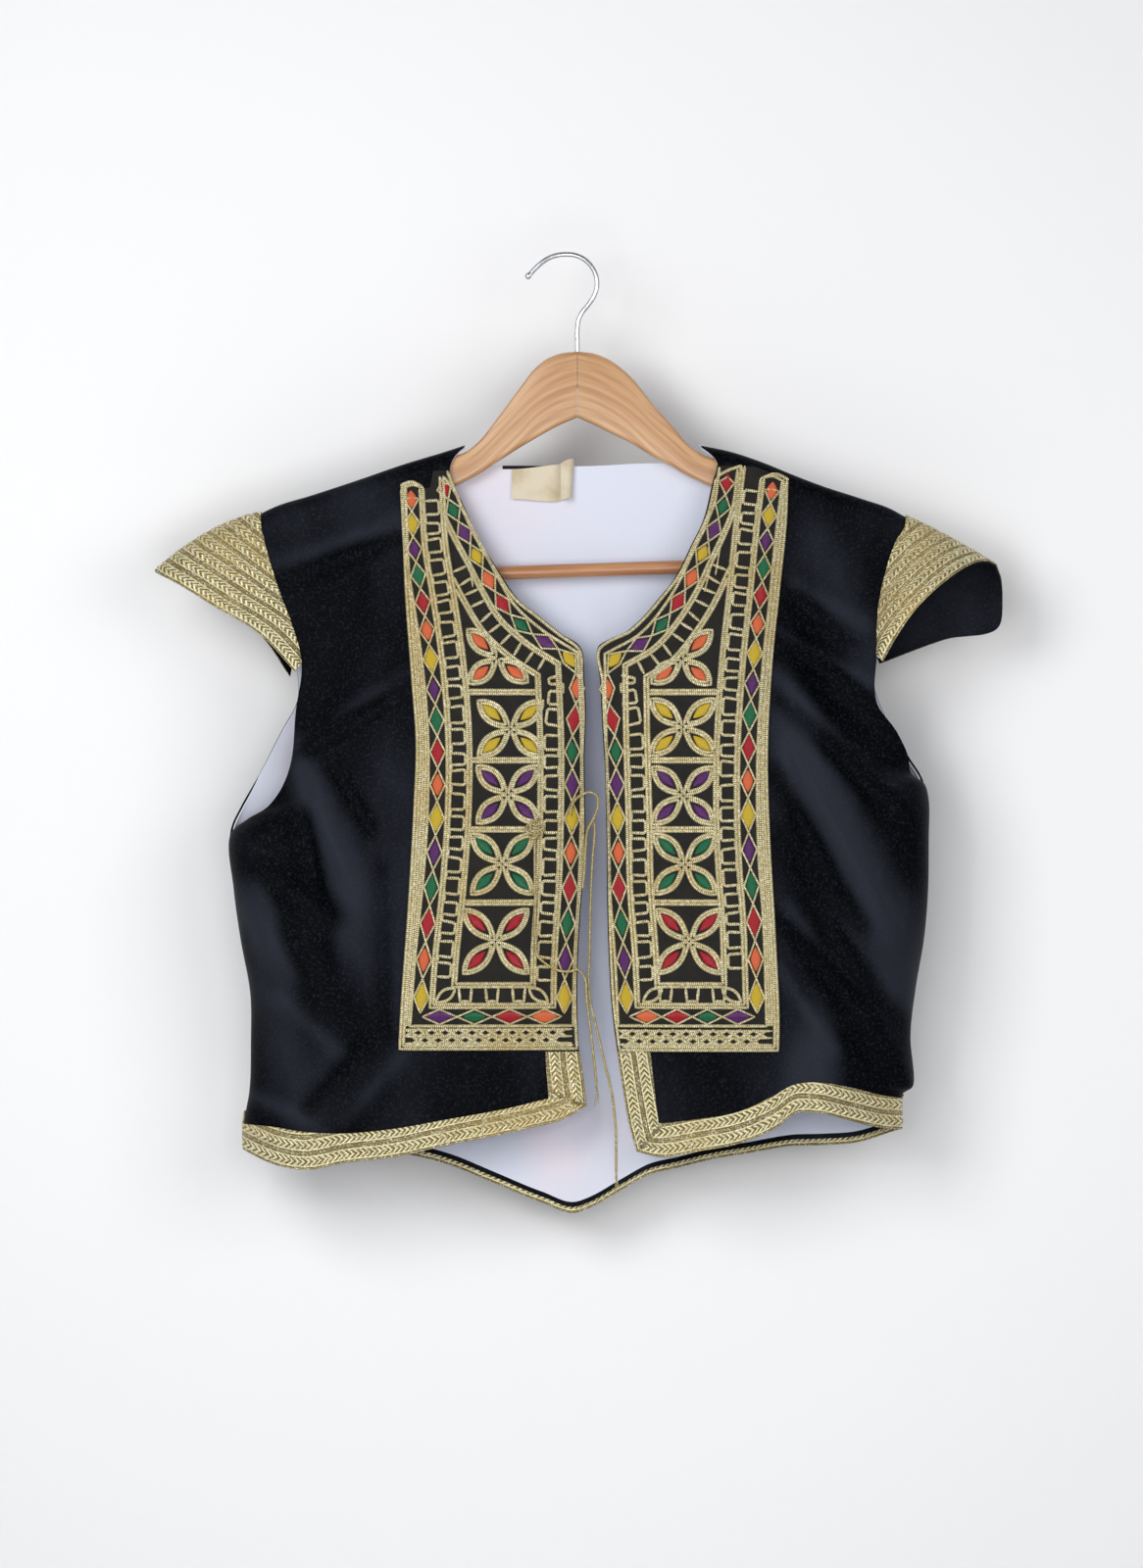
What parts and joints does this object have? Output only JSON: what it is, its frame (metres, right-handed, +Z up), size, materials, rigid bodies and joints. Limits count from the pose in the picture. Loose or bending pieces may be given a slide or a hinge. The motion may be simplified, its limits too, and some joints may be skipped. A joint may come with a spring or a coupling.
{
  "type": "embroidered folk vest on a wooden hanger",
  "caption": "Cropped black velvet vest with gold braid, cap sleeves and embroidered front panels, hung open on a wooden hanger with a bar and a wire hook.",
  "frame": {"origin": "inside the top of the hanger's hook, where it rests on a peg", "axes": "+X to the right as seen from the front, -Y out of the front, +Z up"},
  "size_m": [0.5939, 0.0637, 0.6731],
  "materials": {
    "velvet": "soft sheen",
    "lining": "matte",
    "braid": "metallic thread",
    "embroidery": "metallic thread on black",
    "label": "matte",
    "cord": "metallic thread",
    "arm_wood": "satin varnish",
    "bar_wood": "satin varnish",
    "wire": "satin plated"
  },
  "bodies": {
    "root": {"back_panel": "velvet", "front_left": "velvet", "front_right": "velvet", "sleeve_left": "velvet", "sleeve_right": "velvet", "back_lining": "lining", "front_lining_left": "lining", "front_lining_right": "lining", "sleeve_braid_left": "braid", "sleeve_braid_right": "braid", "hem_braid_left": "braid", "hem_braid_right": "braid", "hem_braid_back": "braid", "embroidery_left": "embroidery", "embroidery_right": "embroidery", "neck_label": "label", "tie_tail": "cord", "tie_loop": "cord", "tie_strand": "cord", "hanger_arm_left": "arm_wood", "hanger_arm_right": "arm_wood", "hanger_bar": "bar_wood", "hanger_hook": "wire"}
  },
  "joints": []
}
